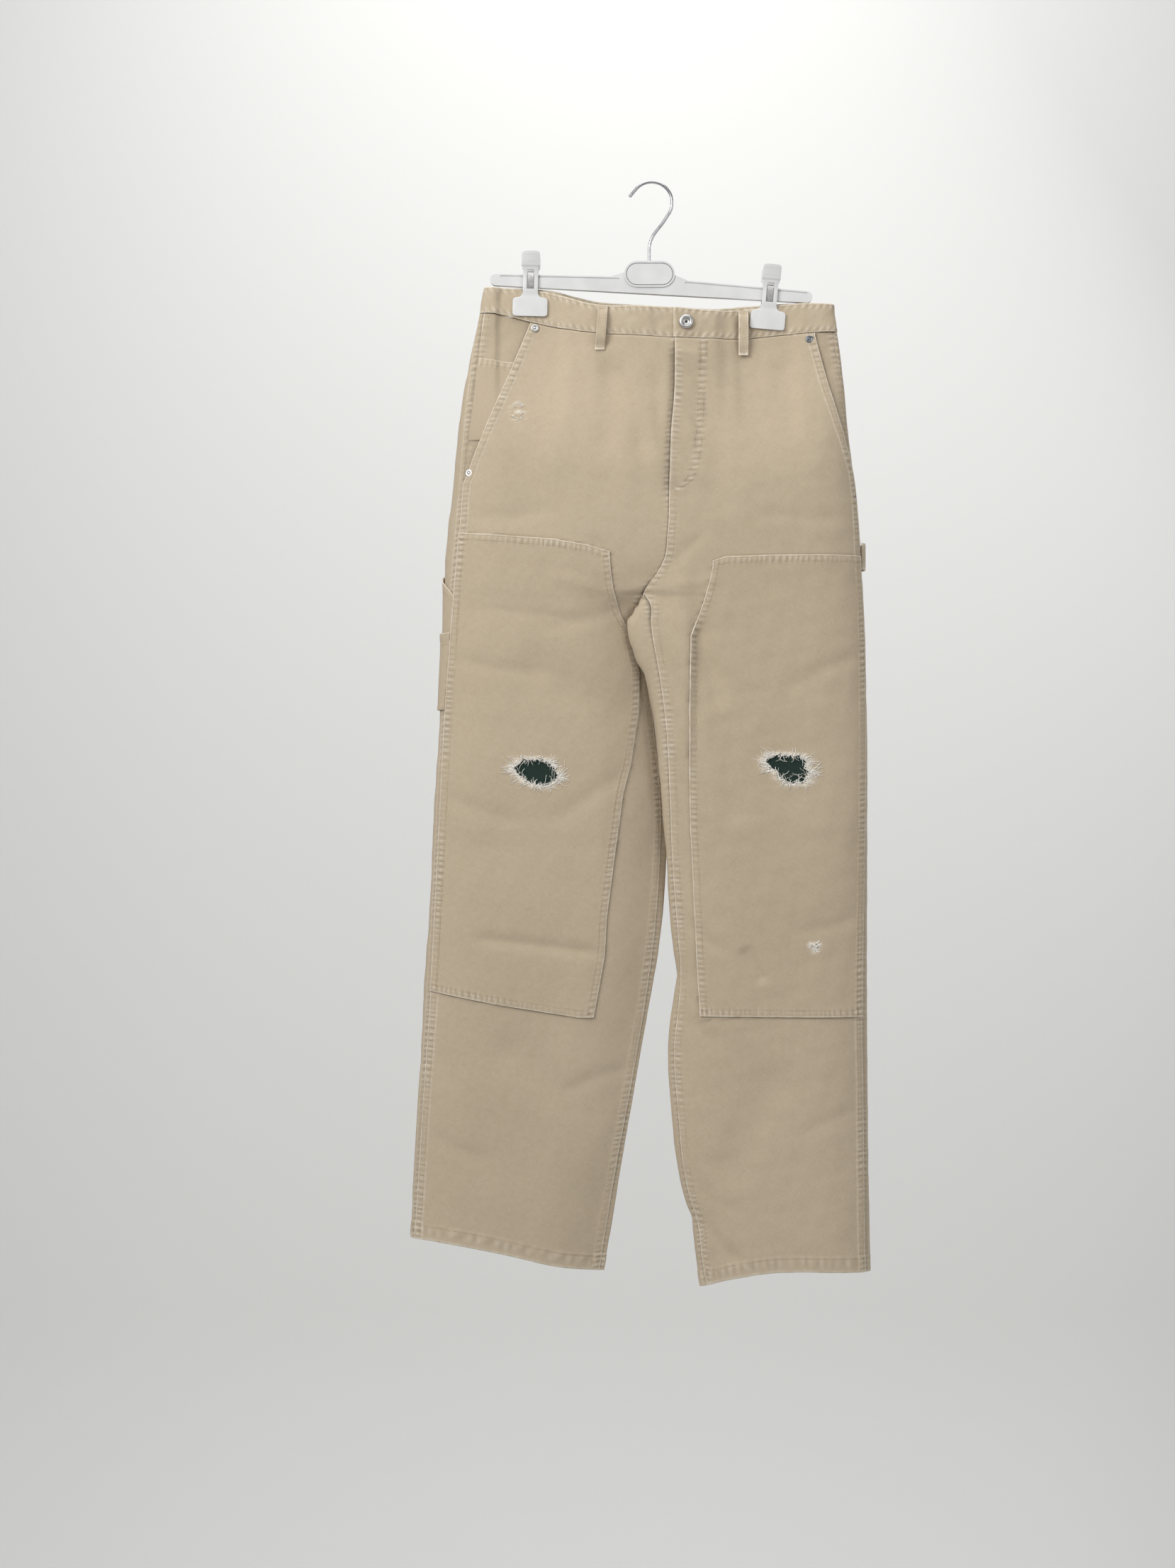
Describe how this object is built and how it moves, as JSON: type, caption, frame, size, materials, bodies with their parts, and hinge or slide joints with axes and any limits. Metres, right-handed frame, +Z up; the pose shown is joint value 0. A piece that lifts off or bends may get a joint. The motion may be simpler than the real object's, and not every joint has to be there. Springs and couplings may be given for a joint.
{
  "type": "carpenter trousers on a clip hanger",
  "caption": "Carpenter work trousers with double knees, tool pocket and hammer loop, hung flat by the waistband from a plastic clip hanger with a wire hook.",
  "frame": {"origin": "inside top of the hanger's hook, where the rail bears, on the middle plane of the flat-hung trousers", "axes": "+Z up along the hanging legs, +X to the wearer's left, -Y out of the front of the trousers"},
  "size_m": [0.5439, 0.0817, 1.307],
  "materials": {
    "canvas": "washed sand-beige cotton canvas, matt, worn light at seams and edges",
    "dark_green_cloth": "very dark green cotton, matt, behind the rips",
    "bright_steel": "bright nickel-plated steel",
    "dark_steel": "dull dark-plated steel",
    "grey_plastic": "pale grey moulded plastic, satin"
  },
  "bodies": {
    "root": {"front_right": "canvas", "front_left": "canvas", "back_right": "canvas", "back_left": "canvas", "pocket_facing_right": "canvas", "pocket_facing_left": "canvas", "coin_pocket": "canvas", "knee_patch_right": "canvas", "knee_patch_left": "canvas", "tool_pocket": "canvas", "tool_pocket_small": "canvas", "fly_shield": "canvas", "waistband_right": "canvas", "waistband_left": "canvas", "belt_loop_front_right": "canvas", "belt_loop_front_left": "canvas", "belt_loop_back_right": "canvas", "belt_loop_centre_back": "canvas", "belt_loop_back_left": "canvas", "hammer_loop": "canvas", "knee_backing_right": "dark_green_cloth", "knee_backing_left": "dark_green_cloth", "waist_button": "bright_steel", "rivet_top_right": "bright_steel", "rivet_side_right": "bright_steel", "hanger_hook": "bright_steel", "clip_spring_right": "bright_steel", "clip_spring_left": "bright_steel", "rivet_top_left": "dark_steel", "rivet_side_left": "dark_steel", "hanger_bar": "grey_plastic", "clip_front_right": "grey_plastic", "clip_back_right": "grey_plastic", "clip_front_left": "grey_plastic", "clip_back_left": "grey_plastic"}
  },
  "joints": []
}
